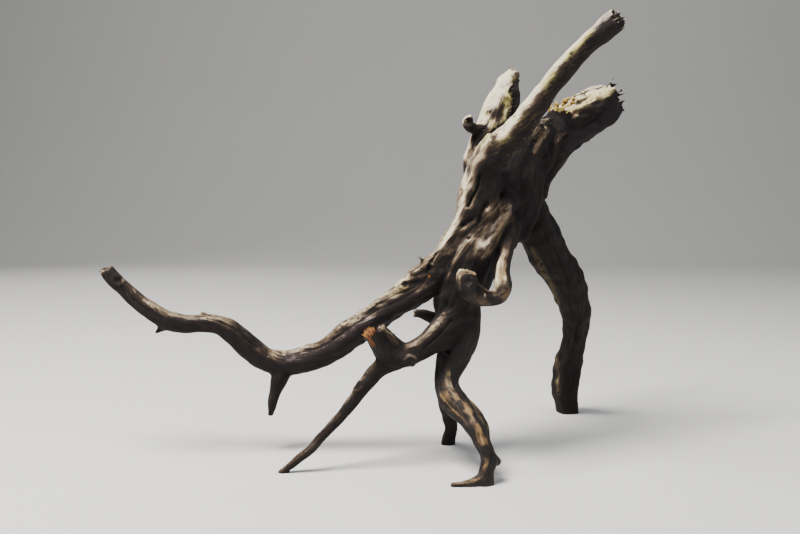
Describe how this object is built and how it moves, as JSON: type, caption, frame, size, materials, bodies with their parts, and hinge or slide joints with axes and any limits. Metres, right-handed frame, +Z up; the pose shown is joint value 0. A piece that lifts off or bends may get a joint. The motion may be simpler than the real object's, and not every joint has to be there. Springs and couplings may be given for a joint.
{
  "type": "driftwood root",
  "caption": "Dark driftwood root standing on spread legs, with a long curved branch reaching sideways, a pale spear and torn stumps at the crown, and a hooked twig in front.",
  "frame": {"origin": "on the surface that the feet stand on, under the middle of the root's bounding box", "axes": "+Z up; the pictured side faces -Y; the long branch reaches towards -X and the spear and the big stump towards +X"},
  "size_m": [0.4005, 0.2011, 0.314],
  "materials": {
    "weathered_wood": "matt, water-worn and barkless: bleached beige on top, brown-black underneath"
  },
  "bodies": {
    "root": {"driftwood_root": "weathered_wood"}
  },
  "joints": []
}
